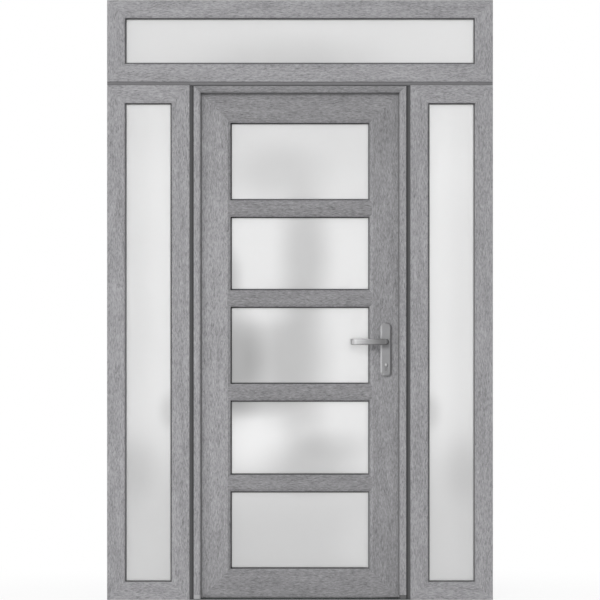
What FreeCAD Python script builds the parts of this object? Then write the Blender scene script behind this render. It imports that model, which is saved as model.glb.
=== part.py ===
"""Door with two sidelights and a transom light, as a parametric document in millimetres.

The frames are mitred bars of foil-covered profile round frosted double glazing.
+Z is up, the outside face looks towards -Y, and the origin is on the floor under the
middle of the threshold. The leaf opens inwards, towards +Y, on hinges at its -X edge.
"""
import FreeCAD, Part
import math
import os
import re
import Sketcher
from FreeCAD import Placement, Rotation, Vector

# Driving dimensions
SIZES = {
    # whole unit
    "overall_width": 1524,
    "overall_height": 2370,
    "frame_depth": 70,
    "arris": 1.5,
    # fixed lights
    "sidelight_width": 326,
    "transom_height": 323,
    "light_face": 71,
    "light_bevel_width": 5,
    "light_bevel_depth": 3,
    "transom_coupler_height": 13,
    "transom_coupler_setback": 6,
    "head_coupler_height": 14,
    "coupler_joint": 0.5,
    # glazing, the same in every opening
    "lip_thickness": 20,
    "lip_reach": 18,
    "gasket_thickness": 4,
    "gasket_grip": 8,
    "gasket_sight": 5,
    "glass_thickness": 24,
    "glass_edge_gap": 5,
    "bead_flat": 5,
    "bead_edge": 6,
    # door frame
    "groove_width": 16,
    "groove_depth": 15,
    "groove_strip_thickness": 4,
    "strip_width": 27,
    "stop_thickness": 20,
    "stop_bevel": 4,
    "stop_overlap": 6,
    "seal_gap": 8,
    "seal_thickness": 3,
    "seal_sight": 4.5,
    "seal_inset": 1,
    "threshold_thickness": 4,
    "threshold_nose": 2,
    "flute_width": 3,
    "flute_depth": 1,
    "flute_pitch": 8,
    "end_block_height": 16,
    # leaf
    "leaf_thickness": 70,
    "leaf_gap": 12,
    "leaf_floor_gap": 9,
    "leaf_face": 124,
    "bottom_rail_face": 112.5,
    "leaf_bevel_width": 10,
    "leaf_bevel_depth": 4.5,
    "back_lip_thickness": 20,
    "back_lip_overlap": 8,
    "bar_face": 65.5,
    "bottom_bar_height": 460.5,
    "lower_bar_height": 820,
    "upper_bar_height": 1191,
    "top_bar_height": 1547,
    # hinges
    "hinge_length": 107,
    "hinge_knuckle": 30,
    "hinge_end_play": 0.5,
    "hinge_bottom_height": 250,
    "hinge_middle_height": 1020,
    "hinge_top_height": 1790,
    "barrel_radius": 7,
    "hinge_pin_radius": 3.5,
    "hinge_pin_clearance": 0.05,
    "hinge_axis_inset": 7,
    "hinge_web": 9,
    "hinge_foot_thickness": 4,
    "hinge_foot_edge": 1,
    "flag_thickness": 4,
    "flag_start": 20,
    "flag_width": 36,
    "flag_corner": 6,
    # handle and lock
    "handle_height": 1020,
    "handle_backset": 59,
    "cylinder_drop": 92,
    "plate_width": 44,
    "plate_upper_length": 75.5,
    "plate_lower_length": 138,
    "plate_thickness": 10,
    "plate_corner": 18.5,
    "plate_bevel_width": 6.5,
    "plate_bevel_depth": 3,
    "neck_radius": 11.5,
    "neck_clearance": 0.2,
    "neck_floor_gap": 1,
    "neck_cap_rise": 0.6,
    "lever_length": 141.5,
    "lever_projection": 57,
    "lever_height": 23,
    "lever_thickness": 10,
    "lever_edge": 4,
    "lever_bow_radius": 300,
    "lever_tip_radius": 17,
    "lever_return": 27,
    "spindle_side": 8,
    "spindle_clearance": 1.5,
    "cylinder_radius": 8.5,
    "cylinder_tail_width": 10,
    "cylinder_tail_drop": 24,
    "cylinder_clearance": 0.2,
    "cylinder_proud": 2,
    "lock_plate_width": 20,
    "lock_plate_upper_length": 90,
    "lock_plate_lower_length": 180,
    "lock_plate_corner": 6.5,
    "lock_plate_thickness": 2.5,
    "lock_plate_depth": 25,
    "bolt_mouth_width": 12,
    "bolt_mouth_height": 30,
    "bolt_mouth_depth": 1.5,
    "strike_plate_thickness": 2,
    # fixings through the outer frame
    "fixing_hole_radius": 5,
    "fixing_depth": 36,
    "jamb_fixing_outer_spacing": 1500,
    "jamb_fixing_inner_spacing": 500,
    "head_fixing_spacing": 1000,
}

# Lengths worked out from the driving dimensions
FRONT = "(-frame_depth / 2)"
BACK = "(frame_depth / 2)"
HALF_WIDTH = "(overall_width / 2)"
DOOR_HALF = "(overall_width / 2 - sidelight_width)"
TRANSOM_FOOT = "(overall_height - transom_height)"
SIDELIGHT_TOP = "(overall_height - transom_height - transom_coupler_height)"
LIGHT_REBATE = "(light_face - lip_reach)"
BEAD_START = "(lip_thickness + 2 * gasket_thickness + glass_thickness)"
DOOR_FRAME_FACE = "(groove_width + strip_width)"
DOOR_REBATE = f"({DOOR_FRAME_FACE} - stop_overlap - leaf_gap)"
JAMB_FOOT = "(threshold_thickness + end_block_height)"
LEAF_FRONT = f"({FRONT} + stop_thickness + seal_gap)"
LEAF_BACK = f"({LEAF_FRONT} + leaf_thickness)"
LEAF_HALF = f"({DOOR_HALF} - {DOOR_FRAME_FACE} + stop_overlap)"
LEAF_TOP = f"({TRANSOM_FOOT} - {DOOR_FRAME_FACE} + stop_overlap)"
BACK_LIP = "(leaf_gap + back_lip_overlap)"
SASH_WIDTH = f"({BACK_LIP} + leaf_face)"
SASH_REBATE = f"({SASH_WIDTH} - lip_reach)"
SASH_TRIM = f"({SASH_WIDTH} - bottom_rail_face)"
PANE_HALF = f"({LEAF_HALF} - leaf_face)"
PANE_FLOOR = "(leaf_floor_gap + bottom_rail_face)"
PANE_CEILING = f"({LEAF_TOP} - leaf_face)"
LEAF_ROOT = f"({PANE_FLOOR} - {SASH_WIDTH})"
HANDLE_X = f"({LEAF_HALF} - handle_backset)"
HINGE_X = f"(-{DOOR_HALF} + hinge_axis_inset)"
HINGE_Y = f"({LEAF_BACK} + barrel_radius)"

# Bars turn about Y, so that each one's inner edge faces the middle of its opening
SILL, HEAD, LEFT, RIGHT = 0, 180, 90, -90

doc = FreeCAD.newDocument("door_with_sidelights")
sheet = doc.addObject("Spreadsheet::Sheet", "sizes")
for row, (alias, number) in enumerate(SIZES.items(), start=1):
    sheet.set(f"A{row}", alias)
    sheet.set(f"B{row}", str(number))
    sheet.setAlias(f"B{row}", alias)
doc.recompute()

nodes = {}


def bind(text):
    """The expression with each size read from the sheet."""
    return re.sub(r"\b[a-z][a-z_]*_?[a-z]+\b",
                  lambda word: f"sizes.{word[0]}" if word[0] in SIZES else word[0], str(text))


def amount(text):
    """What the expression is worth now."""
    return float(sheet.evalExpression(str(text)))


def place(piece, x="0", y="0", z="0", turn=0):
    """Put a piece at a bound point, turned about Y."""
    piece.Placement = Placement(Vector(), Rotation(Vector(0, 1, 0), turn))
    for axis, text in zip("xyz", (x, y, z)):
        piece.setExpression(f"Placement.Base.{axis}", bind(text))


def keep(label, piece):
    """Name a finished sub-part."""
    piece.Label = label
    nodes[label] = piece
    return piece


def group(label, pieces):
    """One sub-part of like pieces that don't touch."""
    compound = doc.addObject("Part::Compound", label)
    compound.Links = pieces
    return keep(label, compound)


def arc_middle(start, end, radius, side):
    """The middle of the arc from start to end that bulges to the left (1) or right (-1)."""
    chord = end - start
    rise = radius - math.sqrt(max(radius ** 2 - chord.Length ** 2 / 4, 0))
    left = Vector(-chord.y, chord.x, 0).normalize()
    return (start + end) * 0.5 + left * side * rise


def add_outline(sketch, points):
    """A closed line of bound points; a point with a radius and a side starts an arc."""
    corners = [Vector(amount(point[0]), amount(point[1]), 0) for point in points]
    first = sketch.GeometryCount
    ends = []
    for index, point in enumerate(points):
        start, end = corners[index], corners[(index + 1) % len(points)]
        if len(point) == 2:
            edge = Part.LineSegment(start, end)
        else:
            middle = arc_middle(start, end, amount(point[2]), point[3])
            edge = Part.Arc(start, middle, end)
        sketch.addGeometry(edge)
        begins = sketch.getPoint(first + index, 1).isEqual(start, 1e-6)
        ends.append((1, 2) if begins else (2, 1))
    for index, point in enumerate(points):
        edge, following = first + index, first + (index + 1) % len(points)
        joined = ends[(index + 1) % len(points)][0]
        sketch.addConstraint(
            Sketcher.Constraint("Coincident", edge, ends[index][1], following, joined))
        for kind, text, at in (("DistanceX", point[0], corners[index].x),
                               ("DistanceY", point[1], corners[index].y)):
            rule = sketch.addConstraint(
                Sketcher.Constraint(kind, -1, 1, edge, ends[index][0], at))
            sketch.setExpression(f"Constraints[{rule}]", bind(text))
        if len(point) > 2:
            rule = sketch.addConstraint(Sketcher.Constraint("Radius", edge, amount(point[2])))
            sketch.setExpression(f"Constraints[{rule}]", bind(point[2]))


def add_circle(sketch, x, y, radius):
    """A circle at a bound point."""
    centre = Vector(amount(x), amount(y), 0)
    edge = sketch.addGeometry(Part.Circle(centre, Vector(0, 0, 1), amount(radius)))
    for kind, text, at in (("DistanceX", x, centre.x), ("DistanceY", y, centre.y)):
        rule = sketch.addConstraint(Sketcher.Constraint(kind, -1, 1, edge, 3, at))
        sketch.setExpression(f"Constraints[{rule}]", bind(text))
    rule = sketch.addConstraint(Sketcher.Constraint("Radius", edge, amount(radius)))
    sketch.setExpression(f"Constraints[{rule}]", bind(radius))


def new_sketch(body, plane, name, offset="0"):
    """An empty sketch on one of the body's own planes, moved along its normal."""
    sketch = body.newObject("Sketcher::SketchObject", name)
    support = next(face for face in body.Origin.OriginFeatures if face.Role == plane)
    sketch.AttachmentSupport = [(support, "")]
    sketch.MapMode = "FlatFace"
    sketch.setExpression("AttachmentOffset.Base.z", bind(offset))
    return sketch


def outline_sketch(body, plane, name, points, offset="0"):
    """A sketch of one closed outline."""
    sketch = new_sketch(body, plane, name, offset)
    add_outline(sketch, points)
    return sketch


def circle_sketch(body, plane, name, circles, offset="0"):
    """A sketch of circles, each given by x, y and radius."""
    sketch = new_sketch(body, plane, name, offset)
    for circle in circles:
        add_circle(sketch, *circle)
    return sketch


def pad(body, sketch, name, length, symmetric=False, backwards=False):
    """Raise a sketch by a bound length."""
    feature = body.newObject("PartDesign::Pad", name)
    feature.Profile = sketch
    feature.setExpression("Length", bind(length))
    feature.SideType = "Symmetric" if symmetric else "One side"
    feature.Reversed = backwards
    return feature


def cut_through(body, sketch, name):
    """Cut a sketch right through the body, to both sides."""
    feature = body.newObject("PartDesign::Pocket", name)
    feature.Profile = sketch
    feature.Type = "ThroughAll"
    feature.SideType = "Symmetric"
    return feature


def rounded_rectangle(left, bottom, right, top, corner):
    """An upright rectangle with round corners, clockwise from its lower left side."""
    return [(left, f"{bottom} + {corner}"),
            (left, f"{top} - {corner}", corner, 1),
            (f"{left} + {corner}", top),
            (f"{right} - {corner}", top, corner, 1),
            (right, f"{top} - {corner}"),
            (right, f"{bottom} + {corner}", corner, 1),
            (f"{right} - {corner}", bottom),
            (f"{left} + {corner}", bottom, corner, 1)]


def block(name, x, y, z, along_x, along_y, along_z):
    """A plain slab from its lowest corner and its three bound lengths."""
    slab = doc.addObject("Part::Box", name)
    slab.setExpression("Length", bind(along_x))
    slab.setExpression("Width", bind(along_y))
    slab.setExpression("Height", bind(along_z))
    place(slab, x, y, z)
    return slab


def bar(name, section, width, length, turn, x, y, z, mitres=(True, True)):
    """A length of profile along local X, mitred at its ends.

    The section's points are depth from the bar's front and height from its outer edge.
    """
    body = doc.addObject("PartDesign::Body", name)
    profile = outline_sketch(body, "YZ_Plane", f"{name}_section", section)
    pad(body, profile, f"{name}_length", length)
    over = f"2 * {width}"
    corners = (("0", over, f"-{width}", f"-{width}"),
               (length, f"{length} - {over}", f"{length} + {width}", f"{length} + {width}"))
    for end, wanted, corner in zip(("start", "finish"), mitres, corners):
        if wanted:
            heel, toe, outer_toe, outer_heel = corner
            waste = outline_sketch(body, "XZ_Plane", f"{name}_{end}_mitre", [
                (heel, "0"), (toe, over), (outer_toe, over), (outer_heel, "0")])
            cut_through(body, waste, f"{name}_{end}_cut")
    place(body, x, y, z, turn)
    return body


def four_bars(name, section, width, left, bottom, right, top, front):
    """The bars round an opening: left, right, bottom and top."""
    height, span = f"({top} - {bottom})", f"({right} - {left})"
    return (bar(f"{name}_left", section, width, height, LEFT, left, front, top),
            bar(f"{name}_right", section, width, height, RIGHT, right, front, bottom),
            bar(f"{name}_bottom", section, width, span, SILL, left, front, bottom),
            bar(f"{name}_top", section, width, span, HEAD, right, front, top))


def light_section():
    """Fixed frame: a flat face that ends in a bevelled glazing lip."""
    return [("arris", "0"), ("0", "arris"),
            ("0", "light_face - light_bevel_width"), ("light_bevel_depth", "light_face"),
            ("lip_thickness", "light_face"), ("lip_thickness", LIGHT_REBATE),
            ("frame_depth", LIGHT_REBATE), ("frame_depth", "arris"),
            ("frame_depth - arris", "0")]


def door_frame_section():
    """Door frame: a groove beside the neighbour, a raised strip and a rebate behind it."""
    return [("groove_depth", "0"), ("groove_depth", "groove_width"),
            ("arris", "groove_width"), ("0", "groove_width + arris"),
            ("0", f"{DOOR_FRAME_FACE} - stop_bevel"), ("stop_bevel", DOOR_FRAME_FACE),
            ("stop_thickness", DOOR_FRAME_FACE), ("stop_thickness", DOOR_REBATE),
            ("frame_depth", DOOR_REBATE), ("frame_depth", "0")]


def sash_front(outer):
    """The part of the leaf's section that all four sides share, from its outer edge."""
    return [("arris", outer), ("0", f"{outer} + arris"),
            ("0", f"{SASH_WIDTH} - leaf_bevel_width"), ("leaf_bevel_depth", SASH_WIDTH),
            ("lip_thickness", SASH_WIDTH), ("lip_thickness", SASH_REBATE),
            ("leaf_thickness", SASH_REBATE)]


def sash_section():
    """Stiles and top rail: a second lip at the back laps over the frame."""
    lip_front = "leaf_thickness - back_lip_thickness"
    return sash_front(BACK_LIP) + [("leaf_thickness", "arris"), ("leaf_thickness - arris", "0"),
                                   (lip_front, "0"), (lip_front, BACK_LIP)]


def bottom_rail_section():
    """Bottom rail: cut off square over the threshold."""
    return sash_front(SASH_TRIM) + [("leaf_thickness", f"{SASH_TRIM} + arris"),
                                    ("leaf_thickness - arris", SASH_TRIM)]


def glazing_bar_section():
    """Bar of the leaf: a glazing lip on both sides of its stem."""
    far = "bar_face - lip_reach"
    return [("0", "leaf_bevel_width"), ("0", "bar_face - leaf_bevel_width"),
            ("leaf_bevel_depth", "bar_face"), ("lip_thickness", "bar_face"),
            ("lip_thickness", far), ("leaf_thickness", far),
            ("leaf_thickness", "lip_reach"), ("lip_thickness", "lip_reach"),
            ("lip_thickness", "0"), ("leaf_bevel_depth", "0")]


def bead_section(depth):
    """Glazing bead: upright at the glass and sloped towards the room."""
    return [("0", "0"), ("0", "lip_reach"), ("bead_flat", "lip_reach"),
            (depth, "bead_edge"), (depth, "0")]


def euro_outline(clearance):
    """Round barrel with a straight tail under it, centred on the barrel."""
    radius = f"(cylinder_radius + {clearance})"
    half = f"(cylinder_tail_width / 2 + {clearance})"
    foot = f"(-cylinder_tail_drop - {clearance})"
    shoulder = f"(-sqrt({radius} * {radius} - {half} * {half}))"
    return [(half, foot), (half, shoulder, radius, -1), ("0", radius, radius, -1),
            (f"-{half}", shoulder), (f"-{half}", foot)]


def moved(points, x, y):
    """An outline with its origin at another point."""
    return [(f"{x} + {point[0]}", f"{y} + {point[1]}", *point[2:]) for point in points]


def turned(points):
    """An outline turned a quarter right: up becomes along."""
    return [(point[1], f"-({point[0]})", *point[2:]) for point in points]


def glaze(name, left, bottom, right, top, front, depth):
    """Glass, two gaskets and four beads in the opening between glazing lips."""
    inset = "(lip_reach - glass_edge_gap)"
    glass_y = f"{front} + lip_thickness + gasket_thickness"
    glass = block(f"{name}_glass", f"{left} - {inset}", glass_y, f"{bottom} - {inset}",
                  f"{right} - {left} + 2 * {inset}", "glass_thickness",
                  f"{top} - {bottom} + 2 * {inset}")
    gaskets = []
    for side, y in (("front", f"{front} + lip_thickness"),
                    ("back", f"{glass_y} + glass_thickness")):
        outer = block(f"{name}_{side}_gasket_rim", f"{left} - gasket_grip", y,
                      f"{bottom} - gasket_grip", f"{right} - {left} + 2 * gasket_grip",
                      "gasket_thickness", f"{top} - {bottom} + 2 * gasket_grip")
        sight = block(f"{name}_{side}_gasket_sight", f"{left} + gasket_sight", y,
                      f"{bottom} + gasket_sight", f"{right} - {left} - 2 * gasket_sight",
                      "gasket_thickness", f"{top} - {bottom} - 2 * gasket_sight")
        ring = doc.addObject("Part::Cut", f"{name}_{side}_gasket")
        ring.Base, ring.Tool = outer, sight
        gaskets.append(ring)
    beads = four_bars(f"{name}_bead", bead_section(f"({depth} - {BEAD_START})"), "lip_reach",
                      f"({left} - lip_reach)", f"({bottom} - lip_reach)",
                      f"({right} + lip_reach)", f"({top} + lip_reach)",
                      f"{front} + {BEAD_START}")
    return glass, gaskets, beads


def drill_fixings(body, length, spacings):
    """Holes through a frame bar, in pairs about its middle, behind the glazing lip."""
    circles = []
    for spacing in spacings:
        for sign in "-+":
            circles.append((f"{length} / 2 {sign} {spacing} / 2", "fixing_depth",
                            "fixing_hole_radius"))
    holes = circle_sketch(body, "XY_Plane", f"{body.Name}_fixings", circles)
    cut_through(body, holes, f"{body.Name}_holes")


def fixed_lights():
    """Two sidelights and the transom light."""
    openings = {
        "left_sidelight": (f"(-{HALF_WIDTH})", "0", f"(-{DOOR_HALF})", SIDELIGHT_TOP),
        "right_sidelight": (DOOR_HALF, "0", HALF_WIDTH, SIDELIGHT_TOP),
        "transom": (f"(-{HALF_WIDTH})", TRANSOM_FOOT, HALF_WIDTH, "overall_height"),
    }
    members = {
        "left_sidelight": ("outer_jamb", "inner_jamb", "sill", "head"),
        "right_sidelight": ("inner_jamb", "outer_jamb", "sill", "head"),
        "transom": ("left_jamb", "right_jamb", "bottom_rail", "top_rail"),
    }
    gaskets, upright, level = [], [], []
    for name, (left, bottom, right, top) in openings.items():
        bars = four_bars(name, light_section(), "light_face", left, bottom, right, top, FRONT)
        for member, piece in zip(members[name], bars):
            keep(f"{name}_{member}", piece)
        glass, rings, beads = glaze(name, f"({left} + light_face)", f"({bottom} + light_face)",
                                    f"({right} - light_face)", f"({top} - light_face)",
                                    FRONT, "frame_depth")
        keep(f"{name}_glass", glass)
        gaskets += rings
        upright += beads[:2]
        level += beads[2:]
    group("fixed_light_gaskets", gaskets)
    group("fixed_light_beads_upright", upright)
    group("fixed_light_beads_level", level)
    for side in ("left", "right"):
        drill_fixings(nodes[f"{side}_sidelight_outer_jamb"], SIDELIGHT_TOP,
                      ("jamb_fixing_outer_spacing", "jamb_fixing_inner_spacing"))
    drill_fixings(nodes["transom_top_rail"], "overall_width", ("head_fixing_spacing",))


def couplers():
    """Spacers under the transom, and the dark strips in the grooves beside the door."""
    depth = "frame_depth - 2 * transom_coupler_setback"
    front = f"{FRONT} + transom_coupler_setback"
    head_half = f"({DOOR_HALF} - coupler_joint)"
    over_head = block("transom_coupler_head", f"-{head_half}", front,
                      f"{TRANSOM_FOOT} - head_coupler_height", f"2 * {head_half}",
                      "groove_depth - transom_coupler_setback", "head_coupler_height")
    over_sides = [
        block(f"transom_coupler_{side}", x, front, SIDELIGHT_TOP, "sidelight_width", depth,
              "transom_coupler_height")
        for side, x in (("left", f"-{HALF_WIDTH}"), ("right", DOOR_HALF))]
    group("transom_couplers", over_sides + [over_head])
    strip_y = f"{FRONT} + groove_depth - groove_strip_thickness"
    strip_height = f"{TRANSOM_FOOT} - groove_width - threshold_thickness"
    group("groove_strips", [
        block(f"groove_strip_{side}", x, strip_y, "threshold_thickness", "groove_width",
              "groove_strip_thickness", strip_height)
        for side, x in (("left", f"-{DOOR_HALF}"), ("right", f"{DOOR_HALF} - groove_width"))])


def door_frame():
    """Two jambs on end blocks, the head, the threshold and the weather seal."""
    section = door_frame_section()
    height = f"({TRANSOM_FOOT} - {JAMB_FOOT})"
    keep("door_frame_hinge_jamb",
         bar("hinge_jamb", section, DOOR_FRAME_FACE, height, LEFT, f"-{DOOR_HALF}", FRONT,
             TRANSOM_FOOT, mitres=(True, False)))
    keep("door_frame_lock_jamb",
         bar("lock_jamb", section, DOOR_FRAME_FACE, height, RIGHT, DOOR_HALF, FRONT,
             JAMB_FOOT, mitres=(False, True)))
    keep("door_frame_head",
         bar("frame_head", section, DOOR_FRAME_FACE, f"(2 * {DOOR_HALF})", HEAD, DOOR_HALF,
             FRONT, TRANSOM_FOOT))
    plain = (False, False)
    group("threshold_end_blocks", [
        bar("end_block_left", section, DOOR_FRAME_FACE, "end_block_height", LEFT,
            f"-{DOOR_HALF}", FRONT, JAMB_FOOT, mitres=plain),
        bar("end_block_right", section, DOOR_FRAME_FACE, "end_block_height", RIGHT,
            DOOR_HALF, FRONT, "threshold_thickness", mitres=plain)])
    threshold()
    sight = f"({DOOR_HALF} - {DOOR_FRAME_FACE} - seal_sight)"
    keep("frame_weather_seal",
         arch_seal("frame_seal", LEAF_HALF, LEAF_TOP, sight,
                   f"({TRANSOM_FOOT} - {DOOR_FRAME_FACE} - seal_sight)", JAMB_FOOT,
                   f"{FRONT} + stop_thickness"))


def threshold():
    """Flat aluminium threshold with a rounded-off edge and a row of flutes."""
    body = doc.addObject("PartDesign::Body", "threshold_bar")
    section = outline_sketch(body, "YZ_Plane", "threshold_section", [
        (FRONT, "0"), (FRONT, "threshold_thickness - threshold_nose"),
        (f"{FRONT} + threshold_nose", "threshold_thickness"),
        (f"{BACK} - threshold_nose", "threshold_thickness"),
        (BACK, "threshold_thickness - threshold_nose"), (BACK, "0")])
    pad(body, section, "threshold_length", f"2 * {DOOR_HALF}")
    half = "flute_width / 2"
    flute = outline_sketch(body, "YZ_Plane", "flute_section", [
        (f"-flute_pitch - {half}", "threshold_thickness"),
        ("-flute_pitch", "threshold_thickness - flute_depth"),
        (f"-flute_pitch + {half}", "threshold_thickness")])
    groove = cut_through(body, flute, "flute")
    rows = body.newObject("PartDesign::LinearPattern", "flutes")
    rows.Originals = [groove]
    rows.Direction = (flute, ["H_Axis"])
    rows.Mode = "Spacing"
    rows.setExpression("Offset", bind("flute_pitch"))
    rows.Occurrences = 3
    body.Tip = rows
    place(body, x=f"-{DOOR_HALF}")
    keep("threshold", body)


def arch_seal(name, half, top, sight_half, sight_top, foot, y):
    """A flat seal up one side, over the top and down the other."""
    outer = block(f"{name}_rim", f"-{half}", y, foot, f"2 * {half}", "seal_thickness",
                  f"{top} - {foot}")
    inner = block(f"{name}_sight", f"-{sight_half}", y, f"{foot} - {half}",
                  f"2 * {sight_half}", "seal_thickness", f"{sight_top} - {foot} + {half}")
    seal = doc.addObject("Part::Cut", name)
    seal.Base, seal.Tool = outer, inner
    return seal


def leaf():
    """Mitred sash with four glazing bars, five panes and its own weather seal."""
    lip_half = f"({LEAF_HALF} + {BACK_LIP})"
    lip_top = f"({LEAF_TOP} + {BACK_LIP})"
    height, span = f"({lip_top} - {LEAF_ROOT})", f"(2 * {lip_half})"
    hinge_stile = bar("hinge_stile", sash_section(), SASH_WIDTH, height, LEFT,
                      f"-{lip_half}", LEAF_FRONT, lip_top)
    lock_stile = bar("lock_stile", sash_section(), SASH_WIDTH, height, RIGHT, lip_half,
                     LEAF_FRONT, LEAF_ROOT)
    trim_foot(hinge_stile, f"{height} - {SASH_TRIM}", f"{height} + {SASH_WIDTH}")
    trim_foot(lock_stile, f"-{SASH_WIDTH}", SASH_TRIM)
    bore_lock_stile(lock_stile)
    keep("leaf_hinge_stile", hinge_stile)
    keep("leaf_lock_stile", lock_stile)
    keep("leaf_top_rail", bar("top_rail", sash_section(), SASH_WIDTH, span, HEAD, lip_half,
                              LEAF_FRONT, lip_top))
    keep("leaf_bottom_rail", bar("bottom_rail", bottom_rail_section(), SASH_WIDTH, span, SILL,
                                 f"-{lip_half}", LEAF_FRONT, LEAF_ROOT))
    heights = {level: f"{level}_bar_height" for level in ("bottom", "lower", "upper", "top")}
    for level, middle in heights.items():
        glazing_bar(level, middle)
    lows = [PANE_FLOOR] + [f"({middle} + bar_face / 2)" for middle in heights.values()]
    highs = [f"({middle} - bar_face / 2)" for middle in heights.values()] + [PANE_CEILING]
    panes, gaskets, upright, level_beads = [], [], [], []
    for number, (low, high) in enumerate(zip(lows, highs), start=1):
        glass, rings, beads = glaze(f"pane_{number}", f"(-{PANE_HALF})", low, PANE_HALF, high,
                                    LEAF_FRONT, "leaf_thickness")
        panes.append(glass)
        gaskets += rings
        upright += beads[:2]
        level_beads += beads[2:]
    group("leaf_glass", panes)
    group("leaf_gaskets", gaskets)
    group("leaf_beads_upright", upright)
    group("leaf_beads_level", level_beads)
    inner_half = f"({LEAF_HALF} + leaf_gap + seal_inset)"
    keep("leaf_weather_seal",
         arch_seal("leaf_seal", f"({lip_half} - seal_inset)", f"({lip_top} - seal_inset)",
                   inner_half, f"({LEAF_TOP} + leaf_gap + seal_inset)", "leaf_floor_gap",
                   f"{LEAF_BACK} - back_lip_thickness - seal_thickness"))


def trim_foot(stile, start, finish):
    """Cut a stile off square over the threshold."""
    waste = outline_sketch(stile, "XZ_Plane", f"{stile.Name}_foot", [
        (start, f"-{SASH_WIDTH}"), (finish, f"-{SASH_WIDTH}"),
        (finish, f"2 * {SASH_WIDTH}"), (start, f"2 * {SASH_WIDTH}")])
    cut_through(stile, waste, f"{stile.Name}_foot_cut")


def bore_lock_stile(stile):
    """Holes for the lever's spindle and the lock cylinder."""
    along = f"(handle_height - {LEAF_ROOT})"
    across = f"({BACK_LIP} + handle_backset)"
    bore = circle_sketch(stile, "XZ_Plane", "spindle_hole", [
        (along, across, "spindle_side / sqrt(2) + spindle_clearance")])
    cut_through(stile, bore, "spindle_bore")
    slot = outline_sketch(stile, "XZ_Plane", "cylinder_hole", moved(
        turned(euro_outline("cylinder_clearance")), f"({along} - cylinder_drop)", across))
    cut_through(stile, slot, "cylinder_slot")


def glazing_bar(level, middle):
    """A bar across the leaf, its ends coped over the stiles' glazing lips."""
    name = f"{level}_bar"
    length = f"(2 * {PANE_HALF} + 2 * lip_reach)"
    body = bar(name, glazing_bar_section(), "bar_face", length, SILL,
               f"-{PANE_HALF} - lip_reach", LEAF_FRONT, f"{middle} - bar_face / 2",
               mitres=(False, False))
    shoulder = "(lip_reach - leaf_bevel_width)"
    cope = [("-lip_reach", "-lip_thickness"), (shoulder, "-lip_thickness"), (shoulder, "0"),
            ("lip_reach", "leaf_bevel_depth"), ("lip_reach", "lip_thickness"),
            ("-lip_reach", "lip_thickness")]
    opposite = [(f"{length} - ({along})", depth) for along, depth in cope]
    for end, points in (("start", cope), ("finish", opposite)):
        waste = outline_sketch(body, "XY_Plane", f"{name}_{end}_cope", points)
        cut_through(body, waste, f"{name}_{end}_cope_cut")
    keep(f"leaf_{name}", body)


def knuckle_side(half_web):
    """How far below the hinge axis a web of this half width meets the barrel."""
    return f"(-sqrt(barrel_radius * barrel_radius - {half_web} * {half_web}))"


def frame_hinge(level):
    """Frame half of a hinge: a foot, two knuckles on webs, and the pin."""
    body = doc.addObject("PartDesign::Body", f"frame_hinge_{level}")
    half = "(hinge_web / 2)"
    foot_y = f"({BACK} - {HINGE_Y})"
    side = knuckle_side(half)
    foot_left = "(hinge_foot_edge - hinge_axis_inset)"
    foot = outline_sketch(body, "XY_Plane", f"{level}_foot", [
        (foot_left, foot_y), (half, foot_y), (half, f"{foot_y} + hinge_foot_thickness"),
        (foot_left, f"{foot_y} + hinge_foot_thickness")])
    pad(body, foot, f"{level}_foot_pad", "hinge_length")
    knuckle = outline_sketch(body, "XY_Plane", f"{level}_knuckle", [
        (half, foot_y), (half, side, "barrel_radius", -1),
        ("0", "barrel_radius", "barrel_radius", -1), (f"-{half}", side), (f"-{half}", foot_y)])
    lower = pad(body, knuckle, f"{level}_lower_knuckle", "hinge_knuckle")
    pair = body.newObject("PartDesign::LinearPattern", f"{level}_knuckles")
    pair.Originals = [lower]
    pair.Direction = (knuckle, ["N_Axis"])
    pair.Mode = "Spacing"
    pair.setExpression("Offset", bind("hinge_length - hinge_knuckle"))
    pair.Occurrences = 2
    body.Tip = pair
    pin = circle_sketch(body, "XY_Plane", f"{level}_pin", [("0", "0", "hinge_pin_radius")])
    pad(body, pin, f"{level}_pin_pad", "hinge_length")
    place(body, HINGE_X, HINGE_Y, f"hinge_{level}_height - hinge_length / 2")
    return body


def leaf_hinge(level):
    """Leaf half of a hinge: a flag on the leaf's back and the middle knuckle."""
    body = doc.addObject("PartDesign::Body", f"leaf_hinge_{level}")
    start = "(hinge_knuckle + hinge_end_play)"
    flag = outline_sketch(body, "XZ_Plane", f"{level}_flag", rounded_rectangle(
        "flag_start", "0", "(flag_start + flag_width)", "hinge_length", "flag_corner"),
        offset="barrel_radius - flag_thickness")
    pad(body, flag, f"{level}_flag_pad", "flag_thickness")
    top = "(flag_thickness - barrel_radius)"
    reach = f"sqrt(barrel_radius * barrel_radius - {top} * {top})"
    arm = outline_sketch(body, "XY_Plane", f"{level}_arm", [
        ("0", "-barrel_radius"), ("flag_start + flag_corner", "-barrel_radius"),
        ("flag_start + flag_corner", top), (reach, top, "barrel_radius", -1),
        ("0", "barrel_radius", "barrel_radius", -1),
        ("-barrel_radius", "0", "barrel_radius", -1)], offset=start)
    pad(body, arm, f"{level}_arm_pad", f"hinge_length - 2 * {start}")
    bore = circle_sketch(body, "XY_Plane", f"{level}_bore", [
        ("0", "0", "hinge_pin_radius + hinge_pin_clearance")])
    cut_through(body, bore, f"{level}_bore_cut")
    place(body, HINGE_X, HINGE_Y, f"hinge_{level}_height - hinge_length / 2")
    return body


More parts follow.
